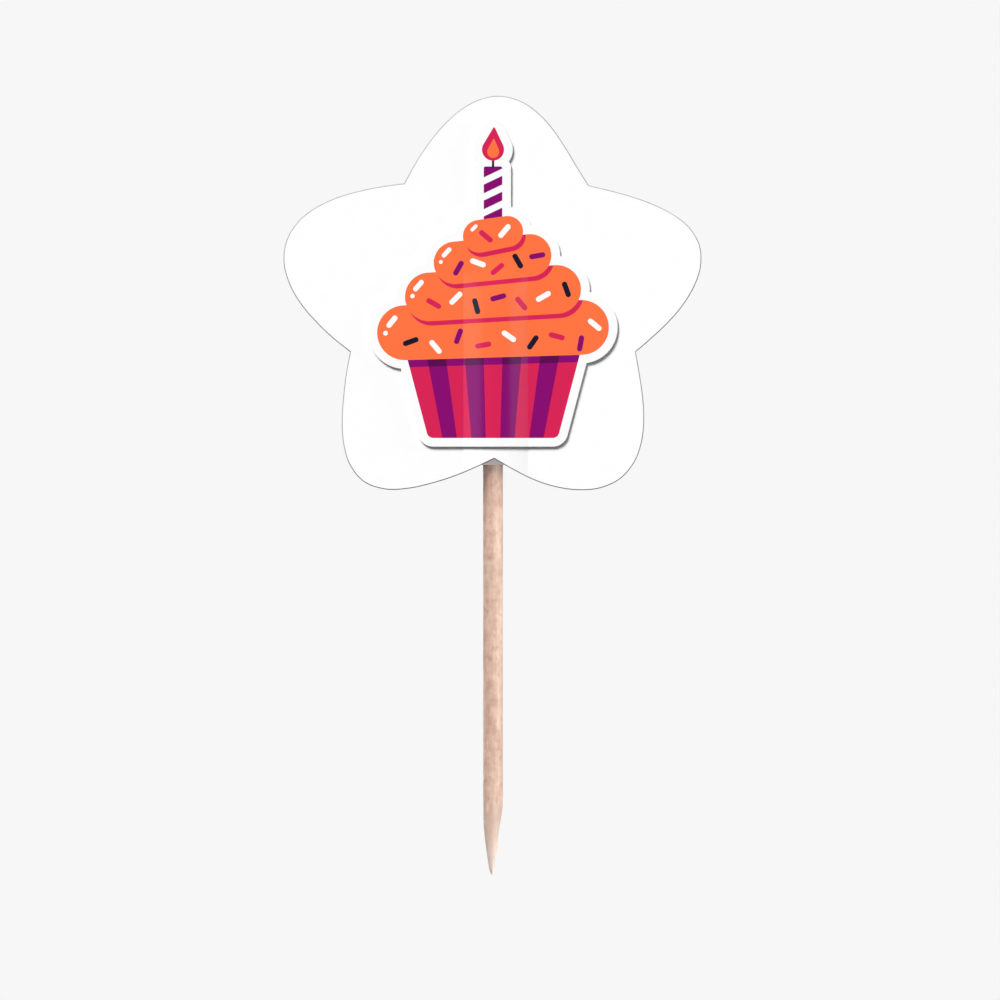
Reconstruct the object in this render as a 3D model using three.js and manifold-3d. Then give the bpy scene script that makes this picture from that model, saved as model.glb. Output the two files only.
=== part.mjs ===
// Cupcake pick: a die-cut star of white card on a round wooden toothpick.
// Millimetres, +Z up. The origin is the sharp point of the pick, on the pick's axis.
// The printed front of the star faces -Y, and +X is to the right seen from the front.
import * as THREE from 'three';
import { mergeVertices } from 'three/addons/utils/BufferGeometryUtils.js';
import Module from 'manifold-3d';

const wasm = await Module();
wasm.setup();
const { Manifold, Mesh } = wasm;

// ---------------------------------------------------------------- driving dimensions, mm
const PICK_LENGTH = 65;         // standard round toothpick, one end cut blunt
const PICK_R = 1.13;            // shank radius
const PICK_CHAMFER = 0.18;      // broken edge of the blunt end
const PICK_SIDES = 24;

const FRONT_CARD_T = 0.40;      // front star card
const BACK_LABEL_T = 0.20;      // back star label paper
const BACK_ADHESIVE_T = 0.08;   // adhesive on the back label
const TAPE_T = 0.10;            // double-sided tape in front of the pick
const STICKER_T = 0.22;         // printed motif, paper thickness
const STICKER_ADHESIVE_T = 0.06;

const JOINT_Y = -0.95;          // plane where the front card meets the back label's adhesive
const RIDGE_HALF_W = 3.65;      // feet of the ridge and of the tent, either side of the pick
const RIDGE_X = 0.30;           // the ridge sits a little to the right of the pick
const RIDGE_H = 0.30;           // how far the front card bows forward over the pick
const RIDGE_STEPS = 12;         // facets across the ridge
const RIDGE_TOP = 65.0;         // full height up to the blunt end of the pick
const RIDGE_END = 70.2;         // and gone here, well past the end of the pick
const TENT_GAP = 0.02;          // clearance between the pick and the adhesive round its back
const TENT_TOP = 65.15;         // the back label is full height up to here
const TENT_END = 70.2;          // and flat again here
const TAPE_BOTTOM = 46.35;      // square-cut lower edge, seen in the bottom notch
const TAPE_TOP = 64.8;

const BORDER = 1.0;             // white border round the motif

// Outline of the star: five lobes between sharp notches, from the upper left notch clockwise.
// Each lobe is a smooth curve through its points.
const LOBES = [
  [[-10.04, 78.20], [-8.85, 80.39], [-7.48, 82.50], [-5.90, 84.47], [-4.08, 86.21], [-1.93, 87.54], [0.53, 88.09],
    [2.99, 87.57], [5.09, 86.18], [6.80, 84.32], [8.21, 82.24], [9.51, 80.08], [10.83, 77.97]],
  [[10.83, 77.97], [13.21, 77.41], [15.59, 76.75], [17.92, 75.92], [20.13, 74.84], [22.09, 73.34], [23.37, 71.22],
    [23.49, 68.75], [22.71, 66.41], [21.41, 64.30], [19.80, 62.43], [18.01, 60.73], [16.16, 59.13]],
  [[16.16, 59.13], [16.58, 56.67], [16.95, 54.16], [17.09, 51.63], [16.86, 49.10], [16.02, 46.71], [14.38, 44.78],
    [12.08, 43.72], [9.54, 43.51], [7.03, 43.87], [4.63, 44.65], [2.35, 45.78], [0.13, 47.06]],
  [[0.13, 47.06], [-2.17, 45.97], [-4.57, 44.99], [-7.03, 44.23], [-9.56, 43.68], [-12.15, 43.59], [-14.58, 44.43],
    [-16.23, 46.41], [-16.95, 48.89], [-17.10, 51.48], [-16.93, 54.06], [-16.63, 56.63], [-16.17, 59.13]],
  [[-16.17, 59.13], [-18.16, 60.72], [-20.02, 62.51], [-21.70, 64.48], [-22.99, 66.71], [-23.67, 69.21], [-23.34, 71.77],
    [-21.97, 73.96], [-19.93, 75.54], [-17.58, 76.62], [-15.10, 77.35], [-12.57, 77.85], [-10.04, 78.20]],
];
const LOBE_SEGMENTS = 36;

// Silhouette of the printed motif, a cupcake with a candle: hulls of circles [x, z, radius].
const MOTIF = [
  [[-6.75, 50.15, 0.75], [6.75, 50.15, 0.75], [9.35, 60.00, 0.75], [-9.35, 60.00, 0.75]],   // paper cup
  [[-10.00, 61.30, 3.10], [10.00, 61.90, 3.10]],                                            // icing, lowest turn
  [[-7.20, 65.35, 2.75], [7.20, 66.20, 2.75]],                                              // second turn
  [[-4.30, 69.20, 2.40], [4.20, 70.05, 2.40]],                                              // third turn
  [[-1.55, 72.20, 1.85], [1.65, 72.75, 1.75]],                                              // top turn
  [[-0.85, 73.00, 0.20], [0.85, 73.00, 0.20], [0.85, 79.90, 0.20], [-0.85, 79.90, 0.20]],   // candle
  [[0.00, 82.00, 1.25], [0.12, 84.40, 0.12]],                                               // flame
];

// ---------------------------------------------------------------- helpers
function solid(geometry) {
  const g = geometry.clone();
  for (const name of Object.keys(g.attributes)) if (name !== 'position') g.deleteAttribute(name);
  const merged = mergeVertices(g.index ? g.toNonIndexed() : g, 1e-6);
  return new Manifold(new Mesh({
    numProp: 3,
    vertProperties: new Float32Array(merged.attributes.position.array),
    triVerts: new Uint32Array(merged.index.array),
  }));
}

function geometryOf(manifold) {
  const mesh = manifold.getMesh();
  const g = new THREE.BufferGeometry();
  g.setAttribute('position', new THREE.BufferAttribute(new Float32Array(mesh.vertProperties), 3));
  g.setIndex(new THREE.BufferAttribute(new Uint32Array(mesh.triVerts), 1));
  g.computeVertexNormals();
  return g;
}

// A prism along Y with the given outline in X and Z.
function prism(outline, y0 = -6, y1 = 6) {
  const shape = new THREE.Shape(outline.map(([x, z]) => new THREE.Vector2(x, z)));
  const g = new THREE.ExtrudeGeometry(shape, { depth: y1 - y0, bevelEnabled: false });
  g.rotateX(Math.PI / 2);
  g.translate(0, y1, 0);
  return solid(g);
}

function starOutline() {
  const points = [];
  for (const lobe of LOBES) {
    const curve = new THREE.CatmullRomCurve3(lobe.map(([x, z]) => new THREE.Vector3(x, z, 0)), false, 'centripetal');
    curve.getPoints(LOBE_SEGMENTS).slice(0, -1).forEach((p) => points.push([p.x, p.y]));
  }
  return points;
}

// Convex hull of circles, as an outline.
function hullOfCircles(circles, grow) {
  const points = [];
  for (const [cx, cz, r] of circles) {
    const R = r + grow;
    for (let i = 0; i < 28; i++) {
      const a = (i / 28) * Math.PI * 2;
      points.push([cx + R * Math.cos(a), cz + R * Math.sin(a)]);
    }
  }
  points.sort((a, b) => a[0] - b[0] || a[1] - b[1]);
  const cross = (o, a, b) => (a[0] - o[0]) * (b[1] - o[1]) - (a[1] - o[1]) * (b[0] - o[0]);
  const half = (list) => {
    const h = [];
    for (const p of list) {
      while (h.length > 1 && cross(h[h.length - 2], h[h.length - 1], p) <= 1e-9) h.pop();
      h.push(p);
    }
    h.pop();
    return h;
  };
  return [...half(points), ...half(points.slice().reverse())];
}

// A closed sheet. front and back each give, for a height z, one list of [x, y] points across the
// sheet from -X to +X, as many on the one as on the other.
function sheet(front, back, rows) {
  const F = rows.map(front);
  const B = rows.map(back);
  const nx = F[0].length;
  const nz = rows.length;
  const pos = [];
  for (const side of [F, B]) side.forEach((line, j) => line.forEach(([x, y]) => pos.push(x, y, rows[j])));
  const f = (i, j) => j * nx + i;
  const b = (i, j) => nx * nz + j * nx + i;
  const idx = [];
  for (let j = 0; j + 1 < nz; j++) {
    for (let i = 0; i + 1 < nx; i++) {
      idx.push(f(i, j), f(i + 1, j), f(i + 1, j + 1), f(i, j), f(i + 1, j + 1), f(i, j + 1));   // faces -Y
      idx.push(b(i, j), b(i + 1, j + 1), b(i + 1, j), b(i, j), b(i, j + 1), b(i + 1, j + 1));   // faces +Y
    }
  }
  for (let i = 0; i + 1 < nx; i++) {
    idx.push(f(i, 0), b(i, 0), b(i + 1, 0), f(i, 0), b(i + 1, 0), f(i + 1, 0));
    idx.push(f(i, nz - 1), b(i + 1, nz - 1), b(i, nz - 1), f(i, nz - 1), f(i + 1, nz - 1), b(i + 1, nz - 1));
  }
  for (let j = 0; j + 1 < nz; j++) {
    idx.push(f(0, j), b(0, j + 1), b(0, j), f(0, j), f(0, j + 1), b(0, j + 1));
    idx.push(f(nx - 1, j), b(nx - 1, j), b(nx - 1, j + 1), f(nx - 1, j), b(nx - 1, j + 1), f(nx - 1, j + 1));
  }
  const g = new THREE.BufferGeometry();
  g.setAttribute('position', new THREE.BufferAttribute(new Float32Array(pos), 3));
  g.setIndex(idx);
  return g;
}

// ---------------------------------------------------------------- the shallow ridge on the front
// Its cross-section is a circular arc between creased feet. It dies away softly above the pick.
const ridgeR = (RIDGE_HALF_W ** 2 + RIDGE_H ** 2) / (2 * RIDGE_H);
const arcHeight = (u) => Math.sqrt(ridgeR ** 2 - u * u) - (ridgeR - RIDGE_H);
const along = (z, full, end) => Math.min(1, Math.max(0, (z - full) / (end - full)));
const fade = (z, full, end) => 1 - along(z, full, end) ** 2 * (3 - 2 * along(z, full, end));
const steps = (from, to, n) => Array.from({ length: n + 1 }, (_, i) => from + (to - from) * i / n);

function ridgeLine(y, halfWidth = null) {
  return (z) => {
    const w = fade(z, RIDGE_TOP, RIDGE_END);
    const line = [];
    for (let i = 0; i <= RIDGE_STEPS; i++) {
      const u = RIDGE_HALF_W * (2 * i / RIDGE_STEPS - 1);
      line.push([RIDGE_X + u, y - w * arcHeight(u)]);
    }
    return halfWidth === null ? [[-32, y], ...line, [32, y]] : line.slice(halfWidth, line.length - halfWidth);
  };
}
const RIDGE_ROWS = [38, ...steps(RIDGE_TOP, RIDGE_END, 8), 92];

// ---------------------------------------------------------------- the tent on the back
// The label lies flat, leaves the front card at the foot, runs straight to the pick, bends round
// its back and comes down the other side. Above the blunt end of the pick it closes with a round end.
const tentR = PICK_R + TENT_GAP;
let tentSlope = 0.5;
for (let n = 0; n < 60; n++) {      // RIDGE_HALF_W sin(a) + JOINT_Y cos(a) = tentR
  const f = RIDGE_HALF_W * Math.sin(tentSlope) + JOINT_Y * Math.cos(tentSlope) - tentR;
  const d = RIDGE_HALF_W * Math.cos(tentSlope) - JOINT_Y * Math.sin(tentSlope);
  tentSlope -= f / d;
}

function tentLine(offset) {         // offset: distance outward from the adhesive's inner face
  const y0 = JOINT_Y + offset;
  const R = tentR + offset;
  const foot = (R - y0 * Math.cos(tentSlope)) / Math.sin(tentSlope);
  const base = [[-foot, y0]];
  for (let i = 0; i <= 8; i++) {
    const a = tentSlope * (i / 4 - 1);
    base.push([R * Math.sin(a), R * Math.cos(a)]);
  }
  base.push([foot, y0]);
  return (z) => {
    const w = fade(z, TENT_TOP, TENT_END);
    const narrow = Math.sqrt(Math.max(0, 1 - along(z, TENT_TOP, TENT_END) ** 2));
    return [[-32, y0], ...base.map(([x, y]) => [x * Math.max(narrow, 0.05), y0 + w * (y - y0)]), [32, y0]];
  };
}
const TENT_ROWS = [38, ...steps(TENT_TOP, TENT_END, 8), 92];

// ---------------------------------------------------------------- build the pieces
const star = prism(starOutline());
const cutStar = (g) => geometryOf(solid(g).intersect(star));

let motif = null;
for (const circles of MOTIF) {
  const piece = prism(hullOfCircles(circles, BORDER));
  motif = motif === null ? piece : motif.add(piece);
}
const cutMotif = (g) => geometryOf(solid(g).intersect(motif));

const frontFace = JOINT_Y - FRONT_CARD_T;
const filmFace = frontFace - STICKER_ADHESIVE_T;
const stickerFace = filmFace - STICKER_T;

const frontCard = cutStar(sheet(ridgeLine(frontFace), ridgeLine(JOINT_Y), RIDGE_ROWS));
const motifAdhesive = cutMotif(sheet(ridgeLine(filmFace), ridgeLine(frontFace), RIDGE_ROWS));
const motifSticker = cutMotif(sheet(ridgeLine(stickerFace), ridgeLine(filmFace), RIDGE_ROWS));
const backAdhesive = cutStar(sheet(tentLine(0), tentLine(BACK_ADHESIVE_T), TENT_ROWS));
const backLabel = cutStar(sheet(tentLine(BACK_ADHESIVE_T), tentLine(BACK_ADHESIVE_T + BACK_LABEL_T), TENT_ROWS));
const tape = sheet(ridgeLine(JOINT_Y, 1), (z) => ridgeLine(JOINT_Y, 1)(z).map(([x, y]) => [x, y + TAPE_T]), [TAPE_BOTTOM, TAPE_TOP]);

// Round toothpick: straight shank, convex taper to the point, blunt end with a broken edge.
const pickProfile = [
  [0, 0], [0.07, 0.0], [0.17, 0.36], [0.28, 0.82], [0.39, 1.45], [0.52, 2.15], [0.635, 3.05], [0.735, 3.96],
  [0.83, 4.86], [0.96, 5.85], [1.04, 6.60], [1.095, 7.40], [1.12, 8.30], [PICK_R, 9.20],
  [PICK_R, PICK_LENGTH - PICK_CHAMFER], [PICK_R - PICK_CHAMFER, PICK_LENGTH], [0, PICK_LENGTH],
].map(([r, z]) => new THREE.Vector2(r, z));
const pick = new THREE.LatheGeometry(pickProfile, PICK_SIDES);
pick.rotateX(Math.PI / 2);

// ---------------------------------------------------------------- the assembly
const group = new THREE.Group();
function add(name, geometry, color, roughness) {
  const mesh = new THREE.Mesh(geometry, new THREE.MeshStandardMaterial({ color, roughness, metalness: 0 }));
  mesh.name = name;
  group.add(mesh);
}
add('front_star_card', frontCard, 0xfbfbfa, 0.45);
add('back_star_label', backLabel, 0xf7f7f5, 0.70);
add('back_adhesive', backAdhesive, 0xf2efe6, 0.50);
add('wooden_pick', pick, 0xdfc0ab, 0.70);
add('mounting_tape', tape, 0xf0ecea, 0.60);
add('motif_adhesive', motifAdhesive, 0xf2efe6, 0.50);
add('motif_sticker', motifSticker, 0xfe7444, 0.40);

export default group;
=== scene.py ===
"""Looks of the cupcake pick: a white die-cut star with a printed cupcake motif on a round birch pick.

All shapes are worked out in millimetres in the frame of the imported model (pick axis on Z, its point at z = 0,
printed front towards -Y) and written to the meshes in metres.
"""
import math

import bpy
import numpy as np
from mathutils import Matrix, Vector
from mathutils.geometry import delaunay_2d_cdt


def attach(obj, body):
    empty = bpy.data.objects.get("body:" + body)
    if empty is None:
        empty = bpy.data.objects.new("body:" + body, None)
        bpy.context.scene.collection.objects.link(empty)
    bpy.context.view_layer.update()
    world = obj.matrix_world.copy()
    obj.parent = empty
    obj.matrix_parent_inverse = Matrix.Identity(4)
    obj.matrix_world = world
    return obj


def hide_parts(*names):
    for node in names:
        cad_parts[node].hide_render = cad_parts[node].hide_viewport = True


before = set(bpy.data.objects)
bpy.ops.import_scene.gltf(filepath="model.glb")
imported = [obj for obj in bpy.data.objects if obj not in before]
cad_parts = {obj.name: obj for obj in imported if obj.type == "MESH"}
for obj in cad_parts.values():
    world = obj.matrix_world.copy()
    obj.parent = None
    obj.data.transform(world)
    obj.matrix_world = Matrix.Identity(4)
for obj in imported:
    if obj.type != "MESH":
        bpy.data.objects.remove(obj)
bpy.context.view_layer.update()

# ------------------------------------------------------------------ dimensions, mm (as in the solid model)
PICK_LENGTH, PICK_R, PICK_CHAMFER = 65.0, 1.13, 0.18
FRONT_CARD_T, BACK_LABEL_T, BACK_ADHESIVE_T, TAPE_T = 0.40, 0.20, 0.08, 0.10
STICKER_T, STICKER_ADHESIVE_T = 0.22, 0.06
JOINT_Y = -0.95
RIDGE_HALF_W, RIDGE_X, RIDGE_H, RIDGE_TOP, RIDGE_END = 3.65, 0.30, 0.30, 65.0, 70.2
TENT_GAP, TENT_TOP, TENT_END = 0.02, 65.15, 70.2
TAPE_BOTTOM, TAPE_TOP, TAPE_HALF_W = 46.35, 64.8, 3.65 * 5 / 6
BORDER = 1.0

LOBES = [
    [[-10.04, 78.20], [-8.85, 80.39], [-7.48, 82.50], [-5.90, 84.47], [-4.08, 86.21], [-1.93, 87.54], [0.53, 88.09],
     [2.99, 87.57], [5.09, 86.18], [6.80, 84.32], [8.21, 82.24], [9.51, 80.08], [10.83, 77.97]],
    [[10.83, 77.97], [13.21, 77.41], [15.59, 76.75], [17.92, 75.92], [20.13, 74.84], [22.09, 73.34], [23.37, 71.22],
     [23.49, 68.75], [22.71, 66.41], [21.41, 64.30], [19.80, 62.43], [18.01, 60.73], [16.16, 59.13]],
    [[16.16, 59.13], [16.58, 56.67], [16.95, 54.16], [17.09, 51.63], [16.86, 49.10], [16.02, 46.71], [14.38, 44.78],
     [12.08, 43.72], [9.54, 43.51], [7.03, 43.87], [4.63, 44.65], [2.35, 45.78], [0.13, 47.06]],
    [[0.13, 47.06], [-2.17, 45.97], [-4.57, 44.99], [-7.03, 44.23], [-9.56, 43.68], [-12.15, 43.59], [-14.58, 44.43],
     [-16.23, 46.41], [-16.95, 48.89], [-17.10, 51.48], [-16.93, 54.06], [-16.63, 56.63], [-16.17, 59.13]],
    [[-16.17, 59.13], [-18.16, 60.72], [-20.02, 62.51], [-21.70, 64.48], [-22.99, 66.71], [-23.67, 69.21], [-23.34, 71.77],
     [-21.97, 73.96], [-19.93, 75.54], [-17.58, 76.62], [-15.10, 77.35], [-12.57, 77.85], [-10.04, 78.20]],
]

CUP = [[-6.75, 50.15, 0.75], [6.75, 50.15, 0.75], [9.35, 60.00, 0.75], [-9.35, 60.00, 0.75]]
TURNS = [
    [[-10.00, 61.30, 3.10], [10.00, 61.90, 3.10]],
    [[-7.20, 65.35, 2.75], [7.20, 66.20, 2.75]],
    [[-4.30, 69.20, 2.40], [4.20, 70.05, 2.40]],
    [[-1.55, 72.20, 1.85], [1.65, 72.75, 1.75]],
]
CANDLE = [[-0.85, 73.00, 0.20], [0.85, 73.00, 0.20], [0.85, 79.90, 0.20], [-0.85, 79.90, 0.20]]
FLAME = [[0.00, 82.00, 1.25], [0.12, 84.40, 0.12]]
MOTIF = [CUP, *TURNS, CANDLE, FLAME]


# ------------------------------------------------------------------ surfaces of the card and label, mm
def along(z, full, end):
    return np.clip((z - full) / (end - full), 0.0, 1.0)


def fade(z, full, end):
    t = along(z, full, end)
    return 1 - t * t * (3 - 2 * t)


RIDGE_R = (RIDGE_HALF_W**2 + RIDGE_H**2) / (2 * RIDGE_H)


def ridge(x, z):
    """How far the front card bows forward: an arc between creased feet, dying away above the pick."""
    x, z = np.broadcast_arrays(np.asarray(x, float), np.asarray(z, float))
    w = fade(z, RIDGE_TOP, RIDGE_END)
    u = np.abs(x - RIDGE_X)
    h = np.sqrt(np.maximum(RIDGE_R**2 - np.minimum(u, RIDGE_HALF_W) ** 2, 0)) - (RIDGE_R - RIDGE_H)
    return np.where(u < RIDGE_HALF_W, w * h, 0.0)


TENT_R = PICK_R + TENT_GAP
_a = 0.5
for _ in range(60):
    _a -= (RIDGE_HALF_W * math.sin(_a) + JOINT_Y * math.cos(_a) - TENT_R) / (
        RIDGE_HALF_W * math.cos(_a) - JOINT_Y * math.sin(_a)
    )
TENT_SLOPE = _a
FILLET = 1.1  # radius of the soft fold at the foot of the tent


def tent(x, z, offset):
    """Height of the back label over its flat parts, at a distance outward from the adhesive's inner face."""
    x, z = np.broadcast_arrays(np.asarray(x, float), np.asarray(z, float))
    y0, R, s = JOINT_Y + offset, TENT_R + offset, TENT_SLOPE
    w = fade(z, TENT_TOP, TENT_END)
    u = np.abs(x) / np.maximum(np.sqrt(np.maximum(1 - along(z, TENT_TOP, TENT_END) ** 2, 0)), 0.05)
    foot = (R - y0 * math.cos(s)) / math.sin(s)
    line = (foot - u) * math.tan(s)
    arc = np.sqrt(np.maximum(R**2 - np.minimum(u, R * math.sin(s)) ** 2, 0)) - y0
    h = np.where(u < R * math.sin(s), arc, line)
    half = FILLET * math.tan(s / 2)  # where the fold starts, either side of the foot
    fold = FILLET - np.sqrt(np.maximum(FILLET**2 - np.clip(foot + half - u, 0, None) ** 2, 0))
    h = np.where((u > foot - half * math.cos(s)) & (u < foot + half), fold, h)
    return w * np.where(u < foot + half, np.maximum(h, 0), 0.0)


FRONT_Y = JOINT_Y - FRONT_CARD_T
FILM_Y = FRONT_Y - STICKER_ADHESIVE_T
STICKER_Y = FILM_Y - STICKER_T


# ------------------------------------------------------------------ outlines, mm
def catmull(points, n):
    """Centripetal Catmull-Rom through the points, n pieces, without the last point."""
    p = np.array(points, float)
    p = np.vstack([2 * p[0] - p[1], p, 2 * p[-1] - p[-2]])
    out = []
    for k in range(n):
        t = k / n * (len(points) - 1)
        i = int(t)
        f = t - i
        a, b, c, d = p[i], p[i + 1], p[i + 2], p[i + 3]
        d0, d1, d2 = (max(math.sqrt(np.hypot(*(q - r))), 1e-4) for q, r in ((b, a), (c, b), (d, c)))
        t1 = ((b - a) / d0 - (c - a) / (d0 + d1) + (c - b) / d1) * d1
        t2 = ((c - b) / d1 - (d - b) / (d1 + d2) + (d - c) / d2) * d1
        out.append(b + t1 * f + (-3 * b + 3 * c - 2 * t1 - t2) * f**2 + (2 * b - 2 * c + t1 + t2) * f**3)
    return out


def star_outline(n=96):
    pts = np.array([q for lobe in LOBES for q in catmull(lobe, n)])
    return pts if area(pts) > 0 else pts[::-1].copy()


def area(p):
    x, z = p[:, 0], p[:, 1]
    return 0.5 * float(np.sum(x * np.roll(z, -1) - np.roll(x, -1) * z))


def hull(circles, grow=0.0, n=72):
    """Convex hull of circles, counter-clockwise."""
    pts = []
    for cx, cz, r in circles:
        for i in range(n):
            a = 2 * math.pi * i / n
            pts.append((cx + (r + grow) * math.cos(a), cz + (r + grow) * math.sin(a)))
    pts = sorted(set((round(a, 6), round(b, 6)) for a, b in pts))

    def half(seq):
        h = []
        for q in seq:
            while len(h) > 1 and (h[-1][0] - h[-2][0]) * (q[1] - h[-2][1]) - (h[-1][1] - h[-2][1]) * (
                q[0] - h[-2][0]
            ) <= 1e-9:
                h.pop()
            h.append(q)
        return h[:-1]

    return np.array(half(pts) + half(pts[::-1]))


def in_convex(poly, pts):
    a, b = poly, np.roll(poly, -1, axis=0)
    e = b - a
    d = (pts[:, None, 1] - a[None, :, 1]) * e[None, :, 0] - (pts[:, None, 0] - a[None, :, 0]) * e[None, :, 1]
    return (d > 0).all(1)


def in_polygon(poly, pts):
    inside = np.zeros(len(pts), bool)
    a, b = poly, np.roll(poly, -1, axis=0)
    for (x0, z0), (x1, z1) in zip(a, b):
        if z0 == z1:
            continue
        hit = (z0 > pts[:, 1]) != (z1 > pts[:, 1])
        x = x0 + (pts[:, 1] - z0) / (z1 - z0) * (x1 - x0)
        inside ^= hit & (pts[:, 0] < x)
    return inside


def union_outline(polys):
    """Outline of the union of overlapping convex polygons, counter-clockwise."""
    verts, edges = [], []
    for p in polys:
        n0 = len(verts)
        verts += [Vector(q) for q in p]
        edges += [(n0 + i, n0 + (i + 1) % len(p)) for i in range(len(p))]
    v, _, f, *_ = delaunay_2d_cdt(verts, edges, [], 0, 1e-5)
    v = np.array([list(q) for q in v])
    mid = np.array([v[list(t)].mean(0) for t in f])
    keep = np.zeros(len(f), bool)
    for p in polys:
        keep |= in_convex(p, mid)
    count = {}
    for t in (f[i] for i in np.nonzero(keep)[0]):
        t = list(t)
        if area(v[t]) < 0:
            t = t[::-1]
        for a, b in zip(t, t[1:] + t[:1]):
            count[(a, b)] = True
    nxt = {a: b for a, b in count if (b, a) not in count}
    start = next(iter(nxt))
    loop, k = [start], nxt[start]
    while k != start:
        loop.append(k)
        k = nxt[k]
    p = v[loop]
    keep = np.hypot(*(p - np.roll(p, 1, axis=0)).T) > 0.02
    return p[keep]


def segment_normals(p):
    e = np.roll(p, -1, axis=0) - p
    e /= np.maximum(np.hypot(*e.T), 1e-9)[:, None]
    return np.c_[e[:, 1], -e[:, 0]]  # outward, for a counter-clockwise outline


def inset(p, d):
    n = segment_normals(p)
    a, b = np.roll(n, 1, axis=0), n
    m = a + b
    m /= np.maximum(np.hypot(*m.T), 1e-9)[:, None]
    c = np.maximum((m * b).sum(1), 0.35)
    return p - m * (d / c)[:, None]


# ------------------------------------------------------------------ sheets
def make_mesh(name, verts, faces, mats, mat_index, normals=None):
    me = bpy.data.meshes.new(name)
    me.from_pydata([tuple(v * 0.001) for v in np.asarray(verts, float)], [], faces)
    for m in mats:
        me.materials.append(m)
    me.polygons.foreach_set("material_index", np.asarray(mat_index, np.int32))
    me.polygons.foreach_set("use_smooth", np.ones(len(faces), bool))
    me.validate()
    me.update()
    if normals is not None:
        me.normals_split_custom_set([tuple(n) for n in normals])
    ob = bpy.data.objects.new(name, me)
    bpy.context.collection.objects.link(ob)
    return ob


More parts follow.
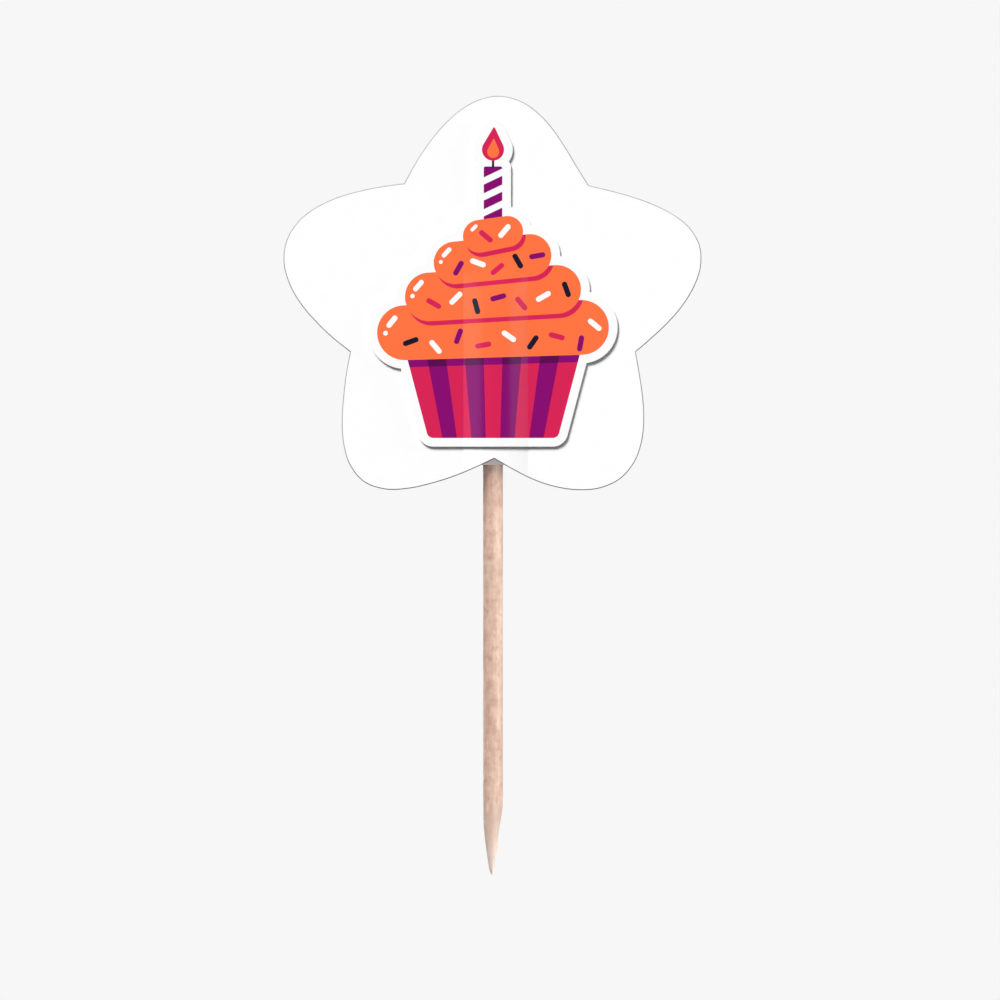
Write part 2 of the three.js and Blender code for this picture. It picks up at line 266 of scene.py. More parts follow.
def sheet_mesh(name, outline, front, back, mats, edge_front=0.07, edge_back=0.03, lines=(), rows=(), shapes=(),
               paint=None, wall=1, rim=1):
    """A closed sheet of paper: front(x, z) and back(x, z) give its two faces, outline its cut edge.

    lines: [(x, z where the line starts to lean in, apex x, apex z)] and rows: [(z, x from, x to)], which the mesh follows.
    shapes: convex polygons of print; paint(points) gives the material of each triangle of the front.
    wall and rim are the materials of the cut edge and of its rounded front corner."""
    ring0 = inset(outline, edge_front)
    # points where the fold lines meet the edge
    cuts = {}
    n = len(outline)
    ends = []
    for x, z_top, *_ in lines:
        best = None
        for i in range(n):
            (x0, z0), (x1, z1) = ring0[i], ring0[(i + 1) % n]
            if (x0 - x) * (x1 - x) < 0 or x0 == x:
                f = 0.0 if x1 == x0 else (x - x0) / (x1 - x0)
                z = z0 + f * (z1 - z0)
                if z < z_top and (best is None or z > best[2]):
                    best = (i, f, z)
        ends.append(best)
        cuts.setdefault(best[0], set()).add(round(best[1], 9))
    base, place = [], {}
    for i in range(n):
        place[(i, 0.0)] = len(base)
        base.append((i, 0.0))
        for f in sorted(cuts.get(i, ())):
            if 1e-6 < f < 1 - 1e-6:
                place[(i, f)] = len(base)
                base.append((i, f))

    def along(ring):
        nx = np.roll(ring, -1, axis=0)
        return np.array([ring[i] * (1 - f) + nx[i] * f for i, f in base])

    def ring_at(d):
        return along(inset(outline, d)) if d > 0 else along(outline)

    c = 1 - math.sin(math.pi / 4)
    rings = [(ring_at(edge_front), 0.0, "f"), (ring_at(edge_front * c), edge_front * c, "f"),
             (ring_at(0), edge_front, "f"), (ring_at(0), edge_back, "b"),
             (ring_at(edge_back * c), edge_back * c, "b"), (ring_at(edge_front), 0.0, "b")]
    m = len(base)

    # triangles of the two faces
    pts = [Vector(q) for q in rings[0][0]]
    edges = [(i, (i + 1) % m) for i in range(m)]
    apex = {}
    for (x, z_top, *tip), (i, f, _) in zip(lines, ends):
        f = round(f, 9)
        a = place[(i, f)] if 1e-6 < f < 1 - 1e-6 else place[((i if f <= 1e-6 else (i + 1) % n), 0.0)]
        b = len(pts)
        pts.append(Vector((x, z_top)))
        edges.append((a, b))
        tip = tuple(tip)
        if tip not in apex:
            apex[tip] = len(pts)
            pts.append(Vector(tip))
        edges.append((b, apex[tip]))
    for z, x0, x1 in rows:
        b = len(pts)
        pts += [Vector((x0, z)), Vector((x1, z))]
        edges.append((b, b + 1))
    for poly in shapes:
        b = len(pts)
        pts += [Vector(q) for q in poly]
        edges += [(b + i, b + (i + 1) % len(poly)) for i in range(len(poly))]
    v, _, tris, orig, *_ = delaunay_2d_cdt(pts, edges, [], 0, 2e-5)
    v = np.array([list(q) for q in v])
    at = {}
    for k, o in enumerate(orig):
        for j in o:
            at[j] = k
    mid = np.array([v[list(t)].mean(0) for t in tris])
    keep = in_polygon(rings[0][0], mid)
    tris = [list(t) if area(v[list(t)]) > 0 else list(t)[::-1] for t, k in zip(tris, keep) if k]
    mid = mid[keep]

    verts, faces, mat, normals = [], [], [], []
    used = sorted({i for t in tris for i in t})
    fi = {k: j for j, k in enumerate(used)}
    vf = v[used]
    nf = len(used)
    verts += [(x, y, z) for (x, z), y in zip(vf, front(vf[:, 0], vf[:, 1]))]
    verts += [(x, y, z) for (x, z), y in zip(vf, back(vf[:, 0], vf[:, 1]))]

    def face_normal(fn, p, towards, sign):
        q = p + 0.02 * (towards - p)
        e = 1e-3
        gx = float(fn(q[0] + e, q[1]) - fn(q[0] - e, q[1])) / (2 * e)
        gz = float(fn(q[0], q[1] + e) - fn(q[0], q[1] - e)) / (2 * e)
        nn = np.array([gx, -1.0, gz]) * sign
        return nn / np.linalg.norm(nn)

    paints = paint(mid) if paint is not None else np.zeros(len(tris), int)
    for t, c_, k in zip(tris, mid, paints):
        faces.append([fi[i] for i in t])            # counter-clockwise in X, Z faces -Y
        mat.append(int(k))
        normals += [face_normal(front, v[i], c_, 1) for i in t]
        faces.append([nf + fi[i] for i in t[::-1]])
        mat.append(0)
        normals += [face_normal(back, v[i], c_, -1) for i in t[::-1]]

    # cut edge
    ids = [[fi[at[i]] for i in range(m)]]
    for xz, depth, side in rings[1:-1]:
        y = front(xz[:, 0], xz[:, 1]) + depth if side == "f" else back(xz[:, 0], xz[:, 1]) - depth
        ids.append(list(range(len(verts), len(verts) + m)))
        verts += [(p[0], yy, p[1]) for p, yy in zip(xz, y)]
    ids.append([nf + fi[at[i]] for i in range(m)])
    seg = segment_normals(rings[2][0])
    prev = np.roll(seg, 1, axis=0)
    tilt = [0.0, math.pi / 4, math.pi / 2, math.pi / 2, 3 * math.pi / 4, math.pi]
    for i in range(m):
        j = (i + 1) % m
        ni = seg[i] + prev[i] if seg[i] @ prev[i] > 0.9 else seg[i]
        nj = seg[i] + seg[j] if seg[i] @ seg[j] > 0.9 else seg[i]
        ni, nj = ni / np.linalg.norm(ni), nj / np.linalg.norm(nj)
        for k in range(5):
            faces.append([ids[k][i], ids[k + 1][i], ids[k + 1][j], ids[k][j]])
            mat.append(rim if k < 2 else wall)
            for nn, kk in ((ni, k), (ni, k + 1), (nj, k + 1), (nj, k)):
                s, c2 = math.sin(tilt[kk]), math.cos(tilt[kk])
                normals.append(np.array([nn[0] * s, -c2, nn[1] * s]))
    return make_mesh(name, verts, faces, mats, mat, normals)


# ------------------------------------------------------------------ materials
def srgb(r, g, b):
    def f(c):
        c /= 255.0
        return c / 12.92 if c <= 0.04045 else ((c + 0.055) / 1.055) ** 2.4

    return (f(r), f(g), f(b), 1.0)


class Nodes:
    """A material with one Principled shader and a few procedural helpers, in object space (metres)."""

    def __init__(self, name):
        self.mat = bpy.data.materials.new(name)
        self.mat.use_nodes = True
        self.tree = self.mat.node_tree
        self.tree.nodes.clear()
        self.out = self.new("ShaderNodeOutputMaterial")
        self.bsdf = self.new("ShaderNodeBsdfPrincipled")
        self.link(self.bsdf.outputs["BSDF"], self.out.inputs["Surface"])
        self.coord = self.new("ShaderNodeTexCoord").outputs["Object"]

    def new(self, kind, **props):
        n = self.tree.nodes.new(kind)
        for k, v in props.items():
            setattr(n, k, v)
        return n

    def link(self, a, b):
        self.tree.links.new(a, b)

    def scaled(self, sx, sy, sz):
        m = self.new("ShaderNodeMapping")
        m.inputs["Scale"].default_value = (sx, sy, sz)
        self.link(self.coord, m.inputs["Vector"])
        return m.outputs["Vector"]

    def noise(self, vector, scale=1.0, detail=3.0, rough=0.5, distortion=0.0):
        n = self.new("ShaderNodeTexNoise")
        n.inputs["Scale"].default_value = scale
        n.inputs["Detail"].default_value = detail
        n.inputs["Roughness"].default_value = rough
        n.inputs["Distortion"].default_value = distortion
        self.link(vector, n.inputs["Vector"])
        return n.outputs["Fac"]

    def remap(self, value, a, b, c, d):
        n = self.new("ShaderNodeMapRange")
        n.inputs["From Min"].default_value = a
        n.inputs["From Max"].default_value = b
        n.inputs["To Min"].default_value = c
        n.inputs["To Max"].default_value = d
        self.link(value, n.inputs["Value"])
        return n.outputs["Result"]

    def math(self, op, a, b):
        n = self.new("ShaderNodeMath", operation=op)
        for s, x in zip(n.inputs, (a, b)):
            if isinstance(x, (int, float)):
                s.default_value = x
            else:
                self.link(x, s)
        return n.outputs["Value"]

    def mix(self, fac, a, b, blend="MIX"):
        n = self.new("ShaderNodeMix", data_type="RGBA", blend_type=blend)
        for s, x in ((n.inputs[0], fac), (n.inputs[6], a), (n.inputs[7], b)):
            if isinstance(x, (int, float)):
                s.default_value = x
            elif isinstance(x, tuple):
                s.default_value = x
            else:
                self.link(x, s)
        return n.outputs[2]

    def bump(self, height, strength, distance, under=None):
        n = self.new("ShaderNodeBump")
        n.inputs["Strength"].default_value = strength
        n.inputs["Distance"].default_value = distance
        self.link(height, n.inputs["Height"])
        if under is not None:
            self.link(under, n.inputs["Normal"])
        return n.outputs["Normal"]

    def set(self, **values):
        for k, v in values.items():
            s = self.bsdf.inputs[k.replace("_", " ")]
            if hasattr(v, "is_linked") or hasattr(v, "node"):
                self.link(v, s)
            else:
                s.default_value = v


def paper(name, colour, rough=0.42, coat=0.0, coat_rough=0.2, fibre=1.0, mottle=0.03, grain_mm=0.16, warm=0.0, spec=0.5):
    """Coated or plain paper: faint mottling of the tone, fine fibre in the bump and the gloss."""
    m = Nodes(name)
    k = 1000.0
    soft = m.noise(m.scaled(k / 1.7, k / 1.7, k / 1.7), detail=4.0, rough=0.6)
    fine = m.noise(m.scaled(k / grain_mm, k / grain_mm, k / (grain_mm * 1.6)), detail=2.0, rough=0.6)
    tone = m.math("ADD", m.remap(soft, 0.3, 0.7, -mottle, mottle), m.remap(fine, 0.3, 0.7, -mottle * 0.5, mottle * 0.5))
    light = tuple(min(c * 1.0, 1.0) for c in colour[:3]) + (1.0,)
    dark = tuple(c * (0.80 if warm == 0 else 0.80 - 0.05 * i * warm) for i, c in enumerate(colour[:3])) + (1.0,)
    m.set(Base_Color=m.mix(m.remap(tone, -2 * mottle, 2 * mottle, 2.6 * mottle, 0.0), light, dark))
    m.set(Roughness=m.remap(fine, 0.25, 0.75, rough - 0.05, rough + 0.06))
    n = m.bump(fine, 0.22 * fibre, 0.00002)
    n = m.bump(soft, 0.18 * fibre, 0.00004, n)
    m.set(Normal=n, Specular_IOR_Level=spec)
    if coat:
        m.set(Coat_Weight=coat, Coat_Roughness=coat_rough, Coat_IOR=1.46)
    return m.mat


def cut_edge(name, colour, plies=0.07):
    """Die-cut edge of board: thin plies across the thickness, broken by short fibres."""
    m = Nodes(name)
    k = 1000.0
    ply = m.noise(m.scaled(k / 2.4, k / plies, k / 2.4), detail=2.0, rough=0.6)
    torn = m.noise(m.scaled(k / 0.12, k / 0.12, k / 0.12), detail=3.0, rough=0.7)
    f = m.math("ADD", m.math("MULTIPLY", ply, 0.6), m.math("MULTIPLY", torn, 0.4))
    dark = tuple(c * 0.62 for c in colour[:3]) + (1.0,)
    m.set(Base_Color=m.mix(m.remap(f, 0.36, 0.64, 0.0, 1.0), dark, colour))
    m.set(Roughness=0.92, Specular_IOR_Level=0.25)
    m.set(Normal=m.bump(f, 0.5, 0.00005))
    return m.mat


def birch(name):
    """Turned birch: pinkish tan with soft blotches, long fibres, short dark pores and a dry surface."""
    m = Nodes(name)
    k = 1000.0
    blotch = m.noise(m.scaled(k / 0.95, k / 0.95, k / 1.45), detail=2.0, rough=0.5)
    hue = m.noise(m.scaled(k / 1.2, k / 1.2, k / 2.8), detail=1.5, rough=0.5)
    broad = m.noise(m.scaled(k / 2.6, k / 2.6, k / 8.0), detail=2.0, rough=0.5)
    streak = m.noise(m.scaled(k / 0.72, k / 0.72, k / 5.2), detail=1.5, rough=0.5)
    fibre = m.noise(m.scaled(k / 0.17, k / 0.17, k / 4.6), detail=2.5, rough=0.6)
    pore = m.noise(m.scaled(k / 0.09, k / 0.09, k / 0.7), detail=1.0, rough=0.5)
    fleck = m.noise(m.scaled(k / 0.37, k / 0.37, k / 0.54), detail=1.0, rough=0.5)
    base = m.mix(m.remap(blotch, 0.30, 0.70, 0.0, 1.0), srgb(170, 136, 117), srgb(207, 178, 160))
    base = m.mix(m.remap(hue, 0.42, 0.66, 0.0, 0.40), base, srgb(199, 160, 148))
    base = m.mix(m.remap(hue, 0.36, 0.50, 0.32, 0.0), base, srgb(198, 171, 143))
    base = m.mix(m.remap(broad, 0.35, 0.65, 0.0, 0.30), base, srgb(192, 155, 138))
    base = m.mix(m.remap(streak, 0.52, 0.68, 0.0, 0.48), base, srgb(215, 187, 166))
    base = m.mix(m.remap(streak, 0.32, 0.46, 0.44, 0.0), base, srgb(171, 134, 115))
    base = m.mix(m.remap(fibre, 0.50, 0.76, 0.0, 0.24), base, srgb(160, 128, 112))
    base = m.mix(m.remap(fibre, 0.24, 0.44, 0.20, 0.0), base, srgb(210, 184, 168))
    base = m.mix(m.remap(fleck, 0.57, 0.72, 0.0, 0.42), base, srgb(162, 128, 110))
    base = m.mix(m.remap(fleck, 0.27, 0.41, 0.28, 0.0), base, srgb(214, 189, 171))
    base = m.mix(m.remap(pore, 0.70, 0.82, 0.0, 0.34), base, srgb(136, 102, 86))
    # the taper is ground to a fresh, paler and smoother surface
    height = m.new("ShaderNodeSeparateXYZ")
    m.link(m.coord, height.inputs[0])
    base = m.mix(m.remap(height.outputs["Z"], 0.0056, 0.0088, 0.56, 0.0), base, srgb(212, 184, 168))
    base = m.mix(m.remap(height.outputs["Z"], 0.0006, 0.0046, 0.85, 0.0), base, srgb(233, 212, 201))
    m.set(Base_Color=base)
    m.set(Roughness=m.remap(fibre, 0.3, 0.7, 0.62, 0.78), Specular_IOR_Level=0.25)
    m.set(Sheen_Weight=0.10, Sheen_Roughness=0.45)  # fine fuzz of the turned surface
    n = m.bump(fibre, 0.5, 0.00003)
    n = m.bump(blotch, 0.3, 0.00005, n)
    n = m.bump(pore, 0.3, 0.00002, n)
    m.set(Normal=n)
    return m.mat


def tacky(name, colour):
    """Dried adhesive film: pale, slightly see-in, with a soft uneven skin."""
    m = Nodes(name)
    k = 1000.0
    lumps = m.noise(m.scaled(k / 0.35, k / 0.35, k / 0.35), detail=3.0, rough=0.6)
    dark = tuple(c * 0.82 for c in colour[:3]) + (1.0,)
    m.set(Base_Color=m.mix(m.remap(lumps, 0.35, 0.65, 0.0, 1.0), dark, colour))
    m.set(Roughness=m.remap(lumps, 0.3, 0.7, 0.35, 0.55), Normal=m.bump(lumps, 0.4, 0.00003))
    return m.mat


WHITE_CARD = paper("white_card_face", srgb(248, 248, 247), rough=0.44, coat=0.12, coat_rough=0.3)
# the card's cut edge and front corner are grey partly as board and partly as painted shade along the outline
CARD_EDGE_WITH_PAINTED_SHADE = cut_edge("card_cut_edge_with_painted_shade", srgb(196, 195, 193))
CARD_ARRIS_AND_PAINTED_SHADE = cut_edge("card_arris_with_painted_shade", srgb(170, 169, 168))  # the die leaves the front corner crushed and grey, and its grey is darkened further as painted shade that draws the dark line round the card's edge
WHITE_LABEL = paper("white_label_face", srgb(245, 244, 241), rough=0.72, fibre=1.7, mottle=0.04, grain_mm=0.22, warm=1.0)
LABEL_EDGE = cut_edge("label_cut_edge", srgb(214, 212, 207), plies=0.05)
STICKER_WHITE = paper("sticker_white", srgb(247, 247, 246), rough=0.38, coat=0.5, coat_rough=0.12, fibre=0.35, spec=0.28)
STICKER_EDGE = cut_edge("sticker_cut_edge", srgb(206, 205, 203), plies=0.05)
ORANGE = paper("ink_orange", srgb(249, 112, 62), rough=0.38, coat=0.5, coat_rough=0.12, fibre=0.35, spec=0.12, mottle=0.025)
CRIMSON = paper("ink_crimson", srgb(210, 31, 82), rough=0.38, coat=0.5, coat_rough=0.12, fibre=0.35, spec=0.12, mottle=0.025)
PURPLE = paper("ink_purple", srgb(132, 0, 107), rough=0.38, coat=0.5, coat_rough=0.12, fibre=0.35, spec=0.12, mottle=0.025)
NAVY = paper("ink_navy", srgb(16, 22, 42), rough=0.38, coat=0.5, coat_rough=0.12, fibre=0.35, spec=0.12, mottle=0.03)
PLUM = paper("ink_plum", srgb(88, 0, 74), rough=0.38, coat=0.5, coat_rough=0.12, fibre=0.35, spec=0.12, mottle=0.025)
ADHESIVE = tacky("adhesive_film", srgb(236, 231, 216))
TAPE = paper("tape_tissue", srgb(230, 217, 213), rough=0.7, fibre=1.4, mottle=0.05)
BIRCH = birch("birch_wood")


# ------------------------------------------------------------------ the star cards
outline = star_outline()
ridge_lines = [(RIDGE_X + u, RIDGE_TOP, RIDGE_X + u, RIDGE_END) for u in np.linspace(-RIDGE_HALF_W, RIDGE_HALF_W, 37)]
ridge_rows = [(z, RIDGE_X - RIDGE_HALF_W, RIDGE_X + RIDGE_HALF_W) for z in np.linspace(RIDGE_TOP, RIDGE_END, 22)]

front_card = sheet_mesh(
    "star_card_front", outline,
    lambda x, z: FRONT_Y - ridge(x, z), lambda x, z: JOINT_Y - ridge(x, z),
    [WHITE_CARD, CARD_EDGE_WITH_PAINTED_SHADE, CARD_ARRIS_AND_PAINTED_SHADE], edge_front=0.11, edge_back=0.03, lines=ridge_lines, rows=ridge_rows, rim=2,
)

TENT_W = 4.2
tent_lines = [(u, TENT_TOP, u, TENT_END) for u in np.linspace(-TENT_W, TENT_W, 57)]
tent_rows = [(z, -TENT_W, TENT_W) for z in np.linspace(TENT_TOP, TENT_END, 31)]


def tent_face(offset):
    return lambda x, z: JOINT_Y + offset + tent(x, z, offset)


back_label = sheet_mesh(
    "star_label_back", outline, tent_face(BACK_ADHESIVE_T), tent_face(BACK_ADHESIVE_T + BACK_LABEL_T),
    [WHITE_LABEL, LABEL_EDGE], edge_front=0.03, edge_back=0.05, lines=tent_lines, rows=tent_rows,
)
back_film = sheet_mesh(
    "adhesive_back", inset(outline, 0.03), tent_face(0.0), tent_face(BACK_ADHESIVE_T),
    [ADHESIVE, ADHESIVE], edge_front=0.015, edge_back=0.015, lines=tent_lines, rows=tent_rows,
)


# ------------------------------------------------------------------ the printed motif
def rod(cx, cz, angle, length=1.25, r=0.30):
    a = math.radians(angle)
    dx, dz = math.cos(a) * length / 2, math.sin(a) * length / 2
    return hull([[cx - dx, cz - dz, r], [cx + dx, cz + dz, r]], n=20)


def moved(circles, dx, dz, grow=0.0):
    return [[x + dx, z + dz, r + grow] for x, z, r in circles]


# painter's order: (polygon, colour, polygon it is kept inside)
W, O, C, P, N, D = 0, 1, 2, 3, 4, 5
art = []
cup = hull(CUP)
art.append((cup, C, None))
CUP_Z0, CUP_Z1 = 49.40, 60.75
for i in (1, 3, 5, 7):
    a, b = (2 * i / 9 - 1), (2 * (i + 1) / 9 - 1)
    art.append((np.array([[a * 7.35, CUP_Z0], [b * 7.35, CUP_Z0], [b * 10.15, CUP_Z1], [a * 10.15, CUP_Z1]]), P, cup))
under = hull(moved(TURNS[0], 0.25, -0.80))
candle, flame = hull(CANDLE), hull(FLAME)
art.append((candle, P, None))
for z in (74.9, 76.7, 78.5):
    art.append((np.array([[-1.05, z - 0.45], [1.05, z + 0.55], [1.05, z + 1.35], [-1.05, z + 0.35]]), W, candle))
art.append((hull([[0.0, 80.05, 0.13], [0.02, 81.2, 0.13]], n=16), N, None))
art.append((flame, C, None))
art.append((hull([[0.02, 81.75, 0.68], [0.09, 83.15, 0.08]], n=40), O, flame))
turns = [hull(t) for t in TURNS]
for i, t in enumerate(turns):
    art.append((t, O, None))
    if i + 1 < len(turns):
        art.append((hull(moved(TURNS[i + 1], 0.30, -0.50)), C, t))
for x0, z0, x1, z1, r in (
    (-11.75, 62.15, -11.10, 62.95, 0.30), (-8.75, 66.25, -8.10, 67.00, 0.28), (-5.55, 70.05, -4.95, 70.70, 0.25),
    (-2.35, 72.95, -1.95, 73.35, 0.20),
):
    art.append((hull([[x0, z0, r], [x1, z1, r]], n=24), W, None))
for x, z, r in ((-12.15, 61.25, 0.27), (-9.10, 65.45, 0.25), (-5.90, 69.30, 0.22)):
    art.append((hull([[x, z, r]], n=24), W, None))
for x, z, angle, colour in (
    (-9.3, 60.3, 20, N), (-6.5, 59.7, -50, W), (-3.9, 60.9, 70, P), (-1.1, 59.9, 10, C), (1.8, 60.9, -35, W),
    (4.5, 60.2, 55, N), (7.2, 60.9, -15, C), (9.9, 60.1, 80, P), (11.5, 62.2, -40, W),
    (-6.7, 64.6, -30, C), (-4.2, 65.2, 45, W), (-1.9, 64.3, -75, N), (0.6, 65.3, 15, P), (3.2, 64.6, -50, C),
    (5.7, 65.4, 30, W), (8.3, 66.2, -70, N),
    (-3.9, 68.6, 60, P), (-1.7, 69.2, -20, W), (0.5, 68.5, 40, C), (2.8, 69.4, -60, N), (5.0, 70.0, 10, P),
    (-0.8, 72.2, -40, C), (1.3, 72.8, 50, W),
):
    art.append((rod(x, z, angle), colour, None))


def paint_motif(mid):
    k = np.zeros(len(mid), int)
    for poly, colour, inside in art:
        hit = in_convex(poly, mid)
        if inside is not None:
            hit &= in_convex(inside, mid)
        k[hit] = colour
    # the icing's shadow on the paper cup
    shade = in_convex(under, mid) & in_convex(cup, mid) & ~in_convex(turns[0], mid)
    k[shade & (k == P)] = D
    k[shade & (k == C)] = P
    return k


motif_outline = union_outline([hull(c, BORDER) for c in MOTIF])
sticker = sheet_mesh(
    "motif_print", motif_outline,
    lambda x, z: STICKER_Y - ridge(x, z), lambda x, z: FILM_Y - ridge(x, z),
    [STICKER_WHITE, ORANGE, CRIMSON, PURPLE, NAVY, PLUM, STICKER_EDGE], edge_front=0.045, edge_back=0.015,
    lines=ridge_lines, rows=ridge_rows, shapes=[p for p, *_ in art] + [under], paint=paint_motif, wall=6, rim=0,
)
motif_film = sheet_mesh(
    "adhesive_motif", inset(motif_outline, 0.04),
    lambda x, z: FILM_Y - ridge(x, z), lambda x, z: FRONT_Y - ridge(x, z),
    [ADHESIVE, ADHESIVE], edge_front=0.012, edge_back=0.012, lines=ridge_lines, rows=ridge_rows,
)

# ------------------------------------------------------------------ the tape in front of the pick
def strip_mesh(name, xs, zs, front, back, mats):
    """A small rectangular sheet bent along Z, closed, with sharp cut edges."""
    nx, nz = len(xs), len(zs)
    verts, faces = [], []
    for fn in (front, back):
        for z in zs:
            verts += [(x, float(fn(x, z)), z) for x in xs]
    f = lambda i, j: j * nx + i
    b = lambda i, j: nx * nz + j * nx + i
    for j in range(nz - 1):
        for i in range(nx - 1):
            faces.append([f(i, j), f(i + 1, j), f(i + 1, j + 1), f(i, j + 1)])
            faces.append([b(i, j), b(i, j + 1), b(i + 1, j + 1), b(i + 1, j)])
    for i in range(nx - 1):
        faces.append([f(i, 0), b(i, 0), b(i + 1, 0), f(i + 1, 0)])
        faces.append([f(i, nz - 1), f(i + 1, nz - 1), b(i + 1, nz - 1), b(i, nz - 1)])
    for j in range(nz - 1):
        faces.append([f(0, j), f(0, j + 1), b(0, j + 1), b(0, j)])
        faces.append([f(nx - 1, j), b(nx - 1, j), b(nx - 1, j + 1), f(nx - 1, j + 1)])
    ob = make_mesh(name, np.array(verts), faces, mats, [0] * len(faces))
    for e in ob.data.edges:
        e.use_edge_sharp = False
    ob.data.set_sharp_from_angle(angle=math.radians(35))
    return ob


tape = strip_mesh(
    "tape_strip", RIDGE_X + np.linspace(-TAPE_HALF_W, TAPE_HALF_W, 31), np.linspace(TAPE_BOTTOM, TAPE_TOP, 20),
    lambda x, z: JOINT_Y - ridge(x, z), lambda x, z: JOINT_Y + TAPE_T - ridge(x, z), [TAPE],
)

# ------------------------------------------------------------------ the wooden pick
PROFILE = np.array([
    [0.0, 0.05], [0.12, 0.12], [0.36, 0.21], [0.82, 0.32], [1.45, 0.425], [2.15, 0.54], [3.05, 0.645], [3.96, 0.74],
    [4.86, 0.83], [5.85, 0.955], [6.60, 1.03], [7.40, 1.09], [8.3, 1.12], [9.2, PICK_R],
])


def pick_radius(z):
    return np.interp(z, PROFILE[:, 0], PROFILE[:, 1])


def lean(z):
    """The taper was ground slightly to one side."""
    t, u = np.clip((8.2 - z) / 3.6, 0, 1), np.clip((4.6 - z) / 2.6, 0, 1)
    return -0.17 * t * t * (3 - 2 * t) + 0.04 * u * u * (3 - 2 * u)


def pick_mesh(name):
    rng = np.random.default_rng(7)
    sides, zs = 72, np.r_[np.linspace(0, 9.4, 66), np.linspace(9.7, PICK_LENGTH - PICK_CHAMFER, 167)]
    th = np.linspace(0, 2 * math.pi, sides, endpoint=False)
    # shallow grooves along the grain, each fading in and out
    grooves = [(rng.uniform(0, 2 * math.pi), rng.uniform(-4, 62), rng.uniform(5, 24), rng.uniform(0.05, 0.16),
                rng.uniform(0.3, 1.0), rng.uniform(-0.004, 0.004)) for _ in range(46)]
    verts, faces = [], []
    for z in zs:
        r = float(pick_radius(z)) * np.ones(sides)
        dig = np.zeros(sides)
        for a, z0, length, width, depth, drift in grooves:
            t = (z - z0) / length
            if 0 < t < 1:
                d = (th - a - drift * (z - z0) + math.pi) % (2 * math.pi) - math.pi
                dig = np.maximum(dig, depth * math.sin(math.pi * t) * np.exp(-((d / width) ** 2)))
        wave = 0.004 * (1 + np.sin(2 * th + 0.11 * z)) + 0.003 * (1 + np.sin(3 * th - 0.23 * z + 1.0))
        r = r - np.minimum(0.016 * dig + wave, 0.3 * r)
        verts += [(float(lean(z)) + rr * math.cos(t_), rr * math.sin(t_), z) for rr, t_ in zip(r, th)]
    top = len(zs)
    verts += [((PICK_R - PICK_CHAMFER) * math.cos(t_), (PICK_R - PICK_CHAMFER) * math.sin(t_), PICK_LENGTH) for t_ in th]
    for j in range(top):
        for i in range(sides):
            k = (i + 1) % sides
            faces.append([j * sides + i, j * sides + k, (j + 1) * sides + k, (j + 1) * sides + i])
    faces.append([i for i in range(sides)][::-1])
    faces.append([top * sides + i for i in range(sides)])
    ob = make_mesh(name, np.array(verts), faces, [BIRCH], [0] * len(faces))
    ob.data.set_sharp_from_angle(angle=math.radians(38))
    return ob


pick = pick_mesh("birch_pick")

# ------------------------------------------------------------------ tie the pieces to the frame
for piece, node, slot in (
    (front_card, "front_star_card", "white_card"),
    (back_label, "back_star_label", "white_label"),
    (back_film, "back_adhesive", "adhesive"),
    (pick, "wooden_pick", "birch"),
    (tape, "mounting_tape", "tape"),
    (motif_film, "motif_adhesive", "adhesive"),
    (sticker, "motif_sticker", "printed_paper"),
):
    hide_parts(node)
    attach(piece, "root")

# ------------------------------------------------------------------ floor, light, camera
fm = Nodes("studio_floor")
fm.set(Base_Color=(0.31, 0.31, 0.312, 1.0), Roughness=1.0, Specular_IOR_Level=0.0)
for name, level in (("studio_floor", 0.0), ("studio_floor_under", -0.03)):
    floor_mesh = bpy.data.meshes.new(name)
    floor_mesh.from_pydata([(-9, -9, level), (9, -9, level), (9, 9, level), (-9, 9, level)], [], [[0, 1, 2, 3]])
    floor = bpy.data.objects.new(name, floor_mesh)
    bpy.context.collection.objects.link(floor)
    floor_mesh.materials.append(fm.mat)
    floor.visible_diffuse = floor.visible_glossy = False  # its bounce would fill every shadow
    floor.visible_shadow = False  # fill light comes up through it


def sun(name, azimuth, elevation, strength, angle, colour=(1.0, 1.0, 1.0)):
    """Azimuth 0 shines from the camera's side (-Y), 90 from +X."""
    data = bpy.data.lights.new(name, "SUN")
    data.energy, data.angle, data.color = strength, math.radians(angle), colour
    ob = bpy.data.objects.new(name, data)
    a, e = math.radians(azimuth), math.radians(elevation)
    d = Vector((math.sin(a) * math.cos(e), -math.cos(a) * math.cos(e), math.sin(e)))
    ob.rotation_euler = (-d).to_track_quat("-Z", "Y").to_euler()
    ob.location = d * 0.5
    bpy.context.collection.objects.link(ob)
    return ob


def flagged(light, pieces, state="INCLUDE"):
    """Flag a light off everything but some pieces, or off those pieces, as a studio does with cards."""
    group = bpy.data.collections.new(light.name + "_flag")
    for ob in pieces:
        group.objects.link(ob)
    for link in group.collection_objects:
        link.light_linking.link_state = state
    light.light_linking.receiver_collection = group


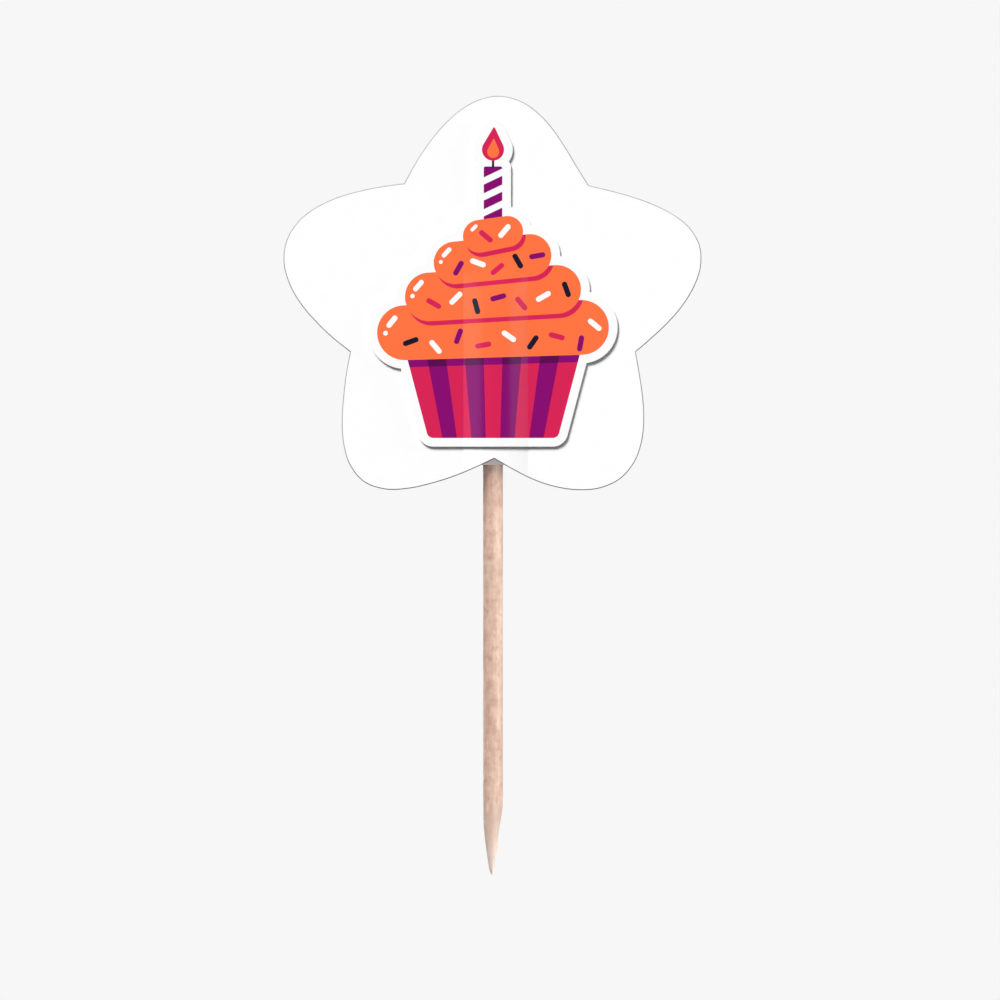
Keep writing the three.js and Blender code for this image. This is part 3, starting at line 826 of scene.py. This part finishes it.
flagged(sun("key_upper_left", -38, 47, 5.35, 22), [pick, tape], "EXCLUDE")
flagged(sun("side_right", 91.5, 12, 2.2, 22), [pick, back_label, back_film], "EXCLUDE")
flagged(sun("side_left", -100, 10, 0.5, 30), [pick], "EXCLUDE")
flagged(sun("back", 165, 26, 2.75, 24), [pick], "EXCLUDE")
sun("strip_left", -14, 2, 0.06, 12, (0.75, 0.82, 1.0))
sun("strip_right", 14, 2, 0.06, 12, (0.75, 0.82, 1.0))
flagged(sun("pick_key", -13, 74, 8.6, 20), [pick])
flagged(sun("pick_side", 93, 12, 1.2, 24, (0.90, 1.0, 1.06)), [pick])
flagged(sun("pick_low_right", 78, -20, 1.8, 26, (0.91, 1.01, 1.06)), [pick])
flagged(sun("pick_back", 205, 34, 5.3, 26), [pick])
flagged(sun("pick_fill_left", -75, -20, 0.68, 30, (0.92, 1.01, 1.12)), [pick, tape])
flagged(sun("pick_fill_right", 75, -20, 0.9, 30), [pick, tape])
flagged(sun("pick_under", 5, -55, 1.4, 30), [pick, tape])

world = bpy.data.worlds.new("studio")
bpy.context.scene.world = world
world.use_nodes = True
wt = world.node_tree
wt.nodes.clear()
wo = wt.nodes.new("ShaderNodeOutputWorld")
bg = wt.nodes.new("ShaderNodeBackground")
lp = wt.nodes.new("ShaderNodeLightPath")
mx = wt.nodes.new("ShaderNodeMapRange")
mx.inputs["To Min"].default_value = 0.13
mx.inputs["To Max"].default_value = 0.93
bg.inputs["Color"].default_value = (1.0, 1.0, 1.0, 1.0)
wt.links.new(lp.outputs["Is Camera Ray"], mx.inputs["Value"])
dim = wt.nodes.new("ShaderNodeMapRange")  # dark cards round the set keep the gloss on the print clear
dim.inputs["To Min"].default_value = 1.0
dim.inputs["To Max"].default_value = 0.45
wt.links.new(lp.outputs["Is Glossy Ray"], dim.inputs["Value"])
both = wt.nodes.new("ShaderNodeMath")
both.operation = "MULTIPLY"
wt.links.new(mx.outputs["Result"], both.inputs[0])
wt.links.new(dim.outputs["Result"], both.inputs[1])
wt.links.new(both.outputs["Value"], bg.inputs["Strength"])
wt.links.new(bg.outputs["Background"], wo.inputs["Surface"])

bpy.context.scene.view_settings.view_transform = "Standard"
bpy.context.scene.view_settings.look = "None"
bpy.context.scene.view_settings.exposure = 0.0
bpy.context.scene.view_settings.gamma = 1.0

MM_PER_PX = 65.0 / 575.0
cam_data = bpy.data.cameras.new("camera")
cam_data.type = "ORTHO"
cam_data.ortho_scale = 1000 * MM_PER_PX * 0.001
cam = bpy.data.objects.new("camera", cam_data)
cam.location = ((500 - 493) * MM_PER_PX * 0.001, -0.5, (875 - 500) * MM_PER_PX * 0.001)
cam.rotation_euler = (math.pi / 2, 0, 0)
cam_data.clip_start, cam_data.clip_end = 0.01, 20.0
bpy.context.collection.objects.link(cam)
bpy.context.scene.camera = cam
